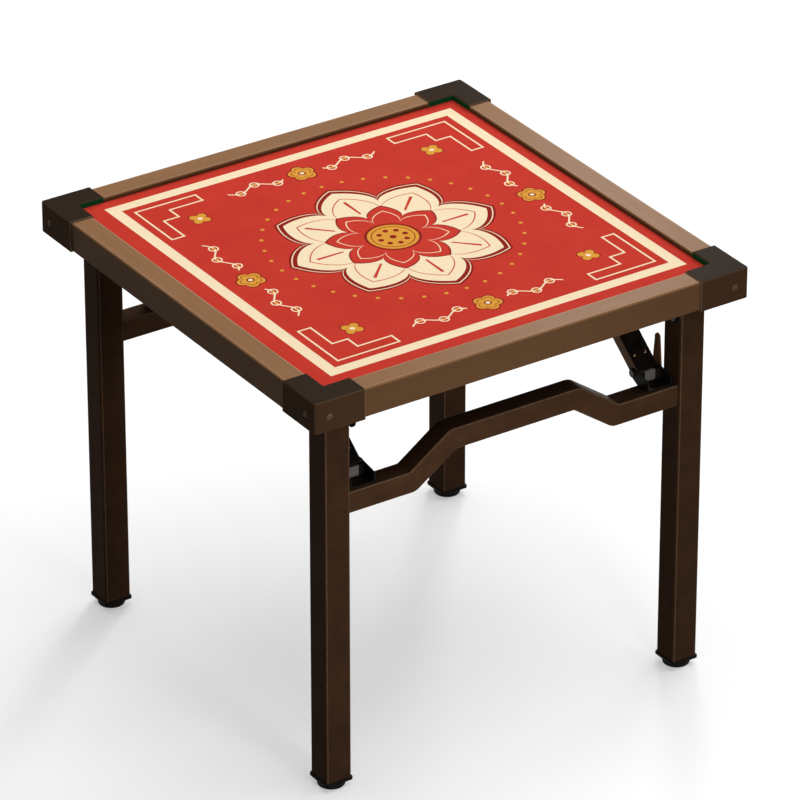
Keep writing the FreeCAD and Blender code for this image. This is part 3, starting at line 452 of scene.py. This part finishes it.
def brace_finish(end):
    """Black painted channel, its black web standing for shade, whose two flanks are painted a lighter brown
    to make up for the shade they lie in.
    """
    finish = Finish("black_channel_" + end, Specular_IOR_Level=BLACK_GLOSS)
    x, _, _ = finish.along()
    cloud = finish.noise(blobs=40.0)
    shaded_web = finish.mix(cloud.spread(), BRACE_SHADED_WEB, BRACE_SHADED_WEB_PALE)
    # Painted light and shade: the flanks get a lighter brown, the web stays black
    lit_flank = abs(abs(x) - BRACE_CENTRE[end]).over(BRACE_FLANK, SHARP_SOFT)
    finish.colour(finish.mix(lit_flank, shaded_web, BRACE_LIT_FLANK))
    finish.roughness(cloud.spread(*BRACE_DULL))
    finish.orange_peel()
    return finish.material


def bracket_finish():
    """Black painted bracket whose wall, behind the brace's foot, is painted grey as a painted reflection."""
    finish = Finish("black_bracket", Specular_IOR_Level=BLACK_GLOSS)
    x, y, _ = finish.along()
    cloud = finish.noise(blobs=40.0)
    black = finish.mix(cloud.spread(), SHEET_BLACK, SHEET_BLACK_PALE)
    across = abs(abs(x) - BRACE_CENTRE["front"]).least(abs(abs(x) - BRACE_CENTRE["back"]))
    # Painted reflection: the wall behind the brace's foot is painted grey
    reflecting_wall = across.under(BRACKET_PLATE_HALF, SHARP_SOFT) * abs(y).inside(*BRACKET_WALL, SHARP_SOFT)
    finish.colour(finish.mix(reflecting_wall, black, BRACKET_WALL_REFLECTION))
    finish.roughness(cloud.spread(*BRACKET_DULL))
    finish.orange_peel()
    return finish.material


def foot_finish():
    """Black moulded foot, a little scuffed near the floor."""
    finish = Finish("moulded_black", Specular_IOR_Level=FOOT_GLOSS)
    _, _, z = finish.along()
    scuff = finish.noise(blobs=260.0, detail=4.0) * z.under(FOOT_SCUFF_TOP, FOOT_SCUFF_SOFT)
    finish.colour(finish.mix(scuff.spread(), FOOT_BLACK, FOOT_BLACK_PALE))
    finish.roughness(finish.noise(blobs=120.0).spread(*FOOT_DULL))
    finish.relief(finish.noise(blobs=1100.0, detail=2.0), FOOT_RELIEF)
    return finish.material


def board_finish():
    """Pressed fibre board: short tan fibres both ways."""
    finish = Finish("fibre_board", Specular_IOR_Level=BOARD_GLOSS)
    fibres = finish.crossed(5.0, BOARD_FIBRES)
    finish.colour(finish.mix(fibres.spread(), BOARD_TAN_DEEP, BOARD_TAN))
    finish.roughness(fibres.spread(*BOARD_DULL))
    finish.relief(fibres, BOARD_RELIEF)
    return finish.material


def steel_finish(name, colour, deep, metallic, dull, gloss=STEEL_GLOSS):
    """Steel with fine scratches, from bright plate to a dull brown coat."""
    finish = Finish(name, Metallic=metallic, Specular_IOR_Level=gloss)
    scratches = finish.noise(stretch=STEEL_SCRATCHES)
    finish.colour(finish.mix(scratches.spread(), deep, colour))
    finish.roughness(scratches.spread(*dull))
    return finish.material


def nylon_finish():
    """Dull moulded nylon."""
    finish = Finish("moulded_nylon", Specular_IOR_Level=NYLON_GLOSS)
    grain = finish.noise(blobs=700.0)
    finish.colour(finish.mix(grain.spread(), FOOT_BLACK, NYLON_BLACK))
    finish.roughness(grain.spread(*NYLON_DULL))
    return finish.material


# The mat's print, in millimetres from the table's centre

MILLIMETRES = 1000.0
PRINT_SHIFT = (8.0, 6.0)
PRINT_SOFT = 0.5
BAND_OUTER = 354.0
BAND_INNER = 332.5
WEAVE_PITCH = 2.4
THREAD_SHADE = 0.22

# Rosette: each ring of petals runs from a valley to a tip
ROSETTE_COUNT = 8
HALF_PETAL = math.pi / ROSETTE_COUNT
PETAL_POINT = 0.6
OUTER_PETALS = (134.0, 190.0)
OUTER_PETAL_LINE = (106.0, 166.0)
OUTER_LINE_WIDTH = 2.6
OUTER_RIM = 16.0
RIM_LINE = 10.0
RIM_LINE_WIDTH = 2.4
VEIN_REACH = (100.0, 152.0)
VEIN_SHARE = 0.05
VEIN_SOFT = 0.02
INNER_PETALS = (74.0, 114.0)
INNER_PETAL_LINE = (58.0, 96.0)
INNER_LINE_WIDTH = 2.4
INNER_RIM = 3.4
SEED_RIM = 49.0
SEED_HEAD = 44.0
SEED_LINE = 37.0
SEED_LINE_WIDTH = 1.8
SEED_COUNT = 8
SEED_RING = 24.0
SEED_RADIUS = 5.0
SEED_EYE = 6.2
BEAD_COUNT = 36
BEAD_RING = 222.0
BEAD_RADIUS = 3.6

# Blossoms and scrolls on the four sides
SIDE_LINE = 284.0
BLOSSOM_COUNT = 5
BLOSSOM_REACH = 25.0
BLOSSOM_DIP = 7.0
BLOSSOM_RIM = 3.0
BLOSSOM_LINE = -6.0
BLOSSOM_LINE_WIDTH = 1.6
BLOSSOM_HEART = 7.0
BLOSSOM_EYE = 4.2
SCROLL_REACH = (40.0, 150.0)
SCROLL_TURN = 0.085
SCROLL_SWING = 9.0
SCROLL_WIDTH = 3.8
CURLS = ((55.0, -9.0), (92.0, 8.0), (129.0, -8.0))
CURL_RADIUS = 8.0
CURL_WIDTH = 2.8
CURL_SEED = 3.0

# Fret and flower in the four corners
FRET_OUTER = 316.0
FRET_INNER = 292.0
FRET_START = 196.0
FRET_TURN = 262.0
FRET_WIDTH = 3.6
FLOWER_PLACE = 236.0
FLOWER_COUNT = 4
FLOWER_REACH = 19.0
FLOWER_DIP = 9.0
FLOWER_RIM = 2.4
FLOWER_EYE = 4.6


def polar(x, y):
    """Distance and angle, from -pi to pi, about the origin."""
    distance = (x * x + y * y).power(0.5)
    return distance, y.do("ARCTAN2", x)


def petal_share(angle, count, turn):
    """How far a direction is from the nearest petal's middle: 0 on it, 1 half way to the next petal."""
    half_pitch = math.pi / count
    return abs((angle + turn).do("PINGPONG", half_pitch)) / half_pitch


def petals(distance, angle, turn, valley, tip):
    """Signed distance to a ring of pointed petals.

    Their edge is at valley + (tip - valley) * (1 - share) ** PETAL_POINT.
    """
    share = petal_share(angle, ROSETTE_COUNT, turn)
    edge = (share * -1.0 + 1.0).most(0.0).power(PETAL_POINT) * (tip - valley) + valley
    return distance - edge


def lobes(distance, angle, count, turn, reach, dip):
    """Signed distance to a flower of round lobes, whose edge is at reach - dip * share squared."""
    share = petal_share(angle, count, turn)
    return distance - (share * share * -dip + reach)


def beads(distance, angle, count, radius):
    """Distance to the nearest of a ring of beads, by their polar places."""
    aside = petal_share(angle, count, 0.0) * (math.pi / count * radius)
    return ((distance - radius).power(2.0) + aside.power(2.0)).power(0.5)


def within(distance, limit):
    """Mask of what is nearer than a limit."""
    return distance.under(limit, PRINT_SOFT)


def ring(distance, radius, width):
    """Mask of a thin ring or line at a distance."""
    return within(abs(distance - radius), width / 2.0)


def between(amount, low, high):
    """Mask of a stretch between two values."""
    return amount.inside(low, high, PRINT_SOFT)


def lay_rosette(lay, x, y):
    """Middle rosette: two rings of pointed petals round a gold seed head, and gold beads outside."""
    distance, angle = polar(x, y)
    outer = petals(distance, angle, 0.0, *OUTER_PETALS)
    lay(within(outer, OUTER_RIM), PRINT_MAROON)
    lay(ring(outer, RIM_LINE, RIM_LINE_WIDTH), PRINT_CREAM)
    lay(within(outer, 0.0), PRINT_CREAM)
    lay(ring(petals(distance, angle, 0.0, *OUTER_PETAL_LINE), 0.0, OUTER_LINE_WIDTH), PRINT_RED)
    vein = petal_share(angle, ROSETTE_COUNT, 0.0).under(VEIN_SHARE, VEIN_SOFT)
    lay(vein * between(distance, *VEIN_REACH), PRINT_RED)
    inner = petals(distance, angle, HALF_PETAL, *INNER_PETALS)
    lay(within(inner, INNER_RIM), PRINT_MAROON)
    lay(within(inner, 0.0), PRINT_RED)
    lay(ring(petals(distance, angle, HALF_PETAL, *INNER_PETAL_LINE), 0.0, INNER_LINE_WIDTH), PRINT_CREAM)
    lay(within(distance, SEED_RIM), PRINT_MAROON)
    lay(within(distance, SEED_HEAD), PRINT_GOLD)
    lay(ring(distance, SEED_LINE, SEED_LINE_WIDTH), PRINT_MAROON)
    lay(within(beads(distance, angle, SEED_COUNT, SEED_RING), SEED_RADIUS), PRINT_MAROON)
    lay(within(distance, SEED_EYE), PRINT_MAROON)
    lay(within(beads(distance, angle, BEAD_COUNT, BEAD_RING), BEAD_RADIUS), PRINT_GOLD)


def lay_side_blossoms(lay, far, near):
    """A gold blossom in the middle of each side, with a cream scroll to the left and right of it."""
    distance, angle = polar(far - SIDE_LINE, near)
    blossom = lobes(distance, angle, BLOSSOM_COUNT, 0.0, BLOSSOM_REACH, BLOSSOM_DIP)
    lay(within(blossom, BLOSSOM_RIM), PRINT_MAROON)
    lay(within(blossom, 0.0), PRINT_GOLD)
    lay(ring(blossom, BLOSSOM_LINE, BLOSSOM_LINE_WIDTH), PRINT_MAROON)
    lay(within(distance, BLOSSOM_HEART), PRINT_MAROON)
    lay(within(distance, BLOSSOM_EYE), PRINT_CREAM)
    swing = (near * SCROLL_TURN).wave() * SCROLL_SWING
    lay(ring(far - SIDE_LINE - swing, 0.0, SCROLL_WIDTH) * between(near, *SCROLL_REACH), PRINT_CREAM)
    for place, rise in CURLS:
        curl, _ = polar(far - (SIDE_LINE + rise), near - place)
        lay(ring(curl, CURL_RADIUS, CURL_WIDTH), PRINT_CREAM)
        lay(within(curl, CURL_SEED), PRINT_GOLD)


def lay_fret_corners(lay, far, near):
    """Square fret in each corner: a line that turns inward on itself, round a four-petalled gold flower."""
    cap = FRET_WIDTH / 2.0
    lines = (
        (far, FRET_OUTER, near, FRET_START, FRET_OUTER + cap),
        (near, FRET_START, far, FRET_INNER - cap, FRET_OUTER + cap),
        (far, FRET_INNER, near, FRET_START, FRET_TURN),
        (near, FRET_TURN, far, FRET_TURN - cap, FRET_INNER + cap),
    )
    for across, place, along, start, end in lines:
        lay(ring(across, place, FRET_WIDTH) * between(along, start, end), PRINT_CREAM)
    distance, angle = polar(far - FLOWER_PLACE, near - FLOWER_PLACE)
    flower = lobes(distance, angle, FLOWER_COUNT, math.pi / FLOWER_COUNT, FLOWER_REACH, FLOWER_DIP)
    lay(within(flower, FLOWER_RIM), PRINT_MAROON)
    lay(within(flower, 0.0), PRINT_GOLD)
    lay(within(distance, FLOWER_EYE), PRINT_CREAM)


def mat_finish():
    """Printed cloth: a red ground with a cream band, a rosette, blossoms, scrolls and fret corners."""
    finish = Finish("printed_mat", Specular_IOR_Level=MAT_GLOSS)
    metres_x, metres_y, _ = finish.along()
    x = metres_x * MILLIMETRES - PRINT_SHIFT[0]
    y = metres_y * MILLIMETRES - PRINT_SHIFT[1]
    far = abs(x).most(abs(y))
    near = abs(x).least(abs(y))
    ground = finish.noise(blobs=14.0, detail=4.0).spread()
    print_colour = finish.mix(ground, PRINT_RED_DEEP, PRINT_RED)

    def lay(mask, colour):
        """Print one more colour over what is there."""
        nonlocal print_colour
        print_colour = finish.mix(mask, print_colour, colour)

    lay(between(far, BAND_INNER, BAND_OUTER), PRINT_CREAM)
    lay_rosette(lay, x, y)
    lay_side_blossoms(lay, far, near)
    lay_fret_corners(lay, far, near)
    turns = 2.0 * math.pi / WEAVE_PITCH
    weave = (x * turns).wave() * (y * turns).wave() * 0.5 + 0.5
    slubs = finish.crossed(3.0, MAT_SLUBS)
    thread = (weave * 0.5 + slubs * 0.5).spread(THREAD_SHADE, 0.0)
    finish.colour(finish.mix(thread, print_colour, PRINT_SHADE))
    finish.roughness(weave.spread(*MAT_DULL))
    finish.relief(weave, WEAVE_RELIEF)
    return finish.material


# Pieces

# How finely the mat's sheet is divided: out from the middle, round its edge, and along each side
MAT_STEPS_OUT = 24
MAT_STEPS_ROUND = 9
MAT_STEPS_ALONG = 17
MERGE_DISTANCE = 1e-6


def surface(name, grid, closed_rows=False):
    """Mesh of a grid of points, an array of rows by columns by 3, with a quad between neighbours."""
    rows, columns = grid.shape[:2]
    index = np.arange(rows * columns).reshape(rows, columns)
    if closed_rows:
        index = np.concatenate([index, index[:, :1]], axis=1)
    corners = (index[:-1, :-1], index[:-1, 1:], index[1:, 1:], index[1:, :-1])
    quads = np.stack(corners, axis=-1).reshape(-1, 4)
    mesh = bpy.data.meshes.new(name)
    mesh.from_pydata(grid.reshape(-1, 3).tolist(), [], quads.tolist())
    mesh.validate()
    piece = bpy.data.objects.new(name, mesh)
    bpy.context.scene.collection.objects.link(piece)
    return piece


def clean(piece):
    """Merge points that coincide, and turn all faces outward."""
    work = bmesh.new()
    work.from_mesh(piece.data)
    bmesh.ops.remove_doubles(work, verts=work.verts, dist=MERGE_DISTANCE)
    bmesh.ops.recalc_face_normals(work, faces=work.faces)
    work.to_mesh(piece.data)
    work.free()


def printed_mat(material):
    """Cloth laid on the board: a closed sheet whose edge rolls over in a half circle.

    A ring of the sheet is a square of half width w(t), at height z(t). From the middle of the top, t runs
    out to the edge, round it by w = half - r + r sin(a), z = middle + r cos(a), and back to the middle
    underneath.
    """
    low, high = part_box("playing_mat")
    half = high.x
    radius = (high.z - low.z) / 2.0
    roll = np.linspace(0.0, math.pi, MAT_STEPS_ROUND)
    flat = np.linspace(0.0, half - radius, MAT_STEPS_OUT)[:-1]
    width = np.concatenate([flat, half - radius + radius * np.sin(roll), flat[::-1]])
    rolled = low.z + radius + radius * np.cos(roll)
    height = np.concatenate([np.full(flat.size, high.z), rolled, np.full(flat.size, low.z)])
    side = np.linspace(-1.0, 1.0, MAT_STEPS_ALONG)[:-1]
    one = np.ones(side.size)
    sides = ((side, -one), (one, side), (-side, one), (-one, -side))
    square = np.concatenate([np.stack(pair, axis=-1) for pair in sides])
    grid = np.empty((width.size, len(square), 3))
    grid[..., :2] = width[:, None, None] * square[None]
    grid[..., 2] = height[:, None]
    piece = surface("printed_mat", grid, closed_rows=True)
    clean(piece)
    piece.data.materials.append(material)
    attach(piece, "table_top")
    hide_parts("playing_mat")


def paint_nodes(mat):
    """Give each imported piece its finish, by the first start of its name that fits."""
    along_x = rail_finish("satin_brown_along_x", RAIL_STREAKS_ALONG_X)
    along_y = rail_finish("satin_brown_along_y", RAIL_STREAKS_ALONG_Y)
    sheet = paint_finish("black_sheet", SHEET_BLACK_PALE, SHEET_BLACK)
    steel = steel_finish("plated_steel", STEEL_GREY, STEEL_GREY_DEEP, BRIGHT_METAL, STEEL_DULL)
    dark_steel = steel_finish("blackened_steel", DARK_STEEL, DARK_STEEL_DEEP, DARK_METAL, DARK_STEEL_DULL)
    by_start = {
        "rail_front": along_x,
        "rail_back": along_x,
        "rail_left": along_y,
        "rail_right": along_y,
        "corner_cap": cap_finish(),
        "cap_rivets": steel_finish("browned_steel", RIVET_BROWN, RIVET_BROWN_DEEP, BROWNED_METAL,
                                   RIVET_DULL, RIVET_GLOSS),
        "board": board_finish(),
        "playing_mat": mat,
        "leg_inserts": nylon_finish(),
        "leg_": paint_finish("leg_paint", TUBE_BROWN, TUBE_BROWN_DEEP, leg_highlight_line),
        # The crossbar gets a lighter, painted-light copy of the leg paint
        "crossbar": paint_finish("crossbar_paint_lit", CROSSBAR_LIT_BROWN, CROSSBAR_LIT_BROWN_DEEP, crossbar_highlight_line),
        "foot_": foot_finish(),
        "brace_bracket": bracket_finish(),
        "brace_guide": sheet,
        "hinge_plate": sheet,
        "brace_pins": dark_steel,
        "brace_liner": steel_finish("brass_plate", BRASS, BRASS_DEEP, BRIGHT_METAL, STEEL_DULL),
        "brace_front": brace_finish("front"),
        "brace_back": brace_finish("back"),
        # The lever gets a colour painted lighter to make up for its shade
        "lock_lever": paint_finish("lever_paint_lit", LEVER_LIT_BROWN, LEVER_LIT_BROWN_DEEP),
        "guide_pin": dark_steel,
        "hinge_": dark_steel,
        "guide_screws": steel,
    }
    for name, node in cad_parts.items():
        start = next(s for s in by_start if name.startswith(s))
        for slot in node.material_slots:
            slot.material = by_start[start]


# Stage

# Floor as the camera sees it, what it bounces back, its own glow, and the even light of the world
FLOOR_PALE = (205, 205, 205)
FLOOR_BOUNCE = (100, 100, 100)
FLOOR_GLOW = 0.4
FLOOR_REACH = 40.0
WORLD_LEVEL = 0.18
WORLD_SEEN = 1.0

# Lamps, in metres, watts and degrees
FAR_LAMP_DISTANCE = 8.0
OVERHEAD = {"source": (0.26, 0.02, 0.96), "level": 0.68, "spread": 70.0}
RIGHT_LIGHT = {"source": (0.85, 0.45, 0.3), "level": 0.22, "spread": 30.0}
PANEL_SIZE = 0.5
FRONT_PANEL = {"place": (-0.15, -2.3, 0.55), "target": (-0.15, -0.38, 0.55), "watts": 4.2, "spread": 80.0}
SHEEN_PANEL = {"place": (1.95, 2.1, 2.28), "target": (0.4, -0.1, 0.78), "watts": 29.0, "spread": 180.0}


def seen_ray(tree):
    """Socket that is 1 for rays that show the background, straight or through gloss and glass, and else 0."""
    path = tree.nodes.new("ShaderNodeLightPath")
    seen = path.outputs["Is Camera Ray"]
    for ray in ("Is Glossy Ray", "Is Transmission Ray"):
        either = tree.nodes.new("ShaderNodeMath")
        either.operation = "MAXIMUM"
        tree.links.new(seen, either.inputs[0])
        tree.links.new(path.outputs[ray], either.inputs[1])
        seen = either.outputs[0]
    return seen


def stage_floor():
    """Wide floor that looks white where it is lit, takes the table's shadow, and bounces little light."""
    ends = [-FLOOR_REACH, FLOOR_REACH]
    x, y = np.meshgrid(ends, ends)
    floor = surface("floor", np.stack([x, y, np.zeros_like(x)], axis=-1))
    finish = Finish("pale_floor", Specular_IOR_Level=0.0, Roughness=1.0, Emission_Color=tone(WHITE))
    seen = Amount(finish, seen_ray(finish.tree))
    finish.colour(finish.mix(seen, FLOOR_BOUNCE, FLOOR_PALE))
    finish.feed(finish.shader.inputs["Emission Strength"], seen * FLOOR_GLOW)
    floor.data.materials.append(finish.material)


def add_lamp(data, place, toward):
    """Put a lamp in the scene, turned along a direction."""
    lamp = bpy.data.objects.new(data.name, data)
    lamp.location = place
    lamp.rotation_mode = "QUATERNION"
    lamp.rotation_quaternion = Vector(toward).to_track_quat("-Z", "Y")
    bpy.context.scene.collection.objects.link(lamp)
    return lamp


def far_lamp(name, source, level, spread):
    """Very distant soft lamp: level 1 lights a face turned to it so that its colour reads as written."""
    data = bpy.data.lights.new(name, "SUN")
    data.energy = math.pi * level
    data.angle = math.radians(spread)
    add_lamp(data, Vector(source) * FAR_LAMP_DISTANCE, -Vector(source))


def panel_lamp(name, place, target, watts, spread):
    """Square panel turned to a point, whose light fans out over an angle in degrees."""
    data = bpy.data.lights.new(name, "AREA")
    data.size = PANEL_SIZE
    data.energy = watts
    data.spread = math.radians(spread)
    lamp = add_lamp(data, place, Vector(target) - Vector(place))
    lamp.visible_camera = False


def light_stage():
    """Lamps overhead and at the right, a panel at the front, one behind for the sheen, and a pale world."""
    far_lamp("overhead", **OVERHEAD)
    far_lamp("right_light", **RIGHT_LIGHT)
    panel_lamp("front_panel", **FRONT_PANEL)
    panel_lamp("sheen_panel", **SHEEN_PANEL)
    world = bpy.data.worlds.new("studio")
    bpy.context.scene.world = world
    world.use_nodes = True
    tree = world.node_tree
    background = tree.nodes["Background"]
    background.inputs["Color"].default_value = tone(WHITE)
    strength = tree.nodes.new("ShaderNodeMapRange")
    strength.inputs["To Min"].default_value = WORLD_LEVEL
    strength.inputs["To Max"].default_value = WORLD_SEEN
    tree.links.new(seen_ray(tree), strength.inputs["Value"])
    tree.links.new(strength.outputs[0], background.inputs["Strength"])


def set_camera():
    """Camera at the photograph's viewing angle, with no shift."""
    yaw = math.radians(CAMERA_YAW)
    pitch = math.radians(CAMERA_PITCH)
    forward = Vector((math.sin(yaw) * math.cos(pitch), math.cos(yaw) * math.cos(pitch), -math.sin(pitch)))
    data = bpy.data.cameras.new("camera")
    data.sensor_width = SENSOR
    data.lens = CAMERA_FOCAL_PIXELS / PICTURE_PIXELS * SENSOR
    data.clip_end = CAMERA_REACH
    camera = bpy.data.objects.new("camera", data)
    camera.location = CAMERA_PLACE
    camera.rotation_mode = "QUATERNION"
    camera.rotation_quaternion = forward.to_track_quat("-Z", "Y")
    bpy.context.scene.collection.objects.link(camera)
    bpy.context.scene.camera = camera


set_camera()
mat_material = mat_finish()
paint_nodes(mat_material)
printed_mat(mat_material)
stage_floor()
light_stage()
bpy.context.scene.view_settings.view_transform = "Standard"
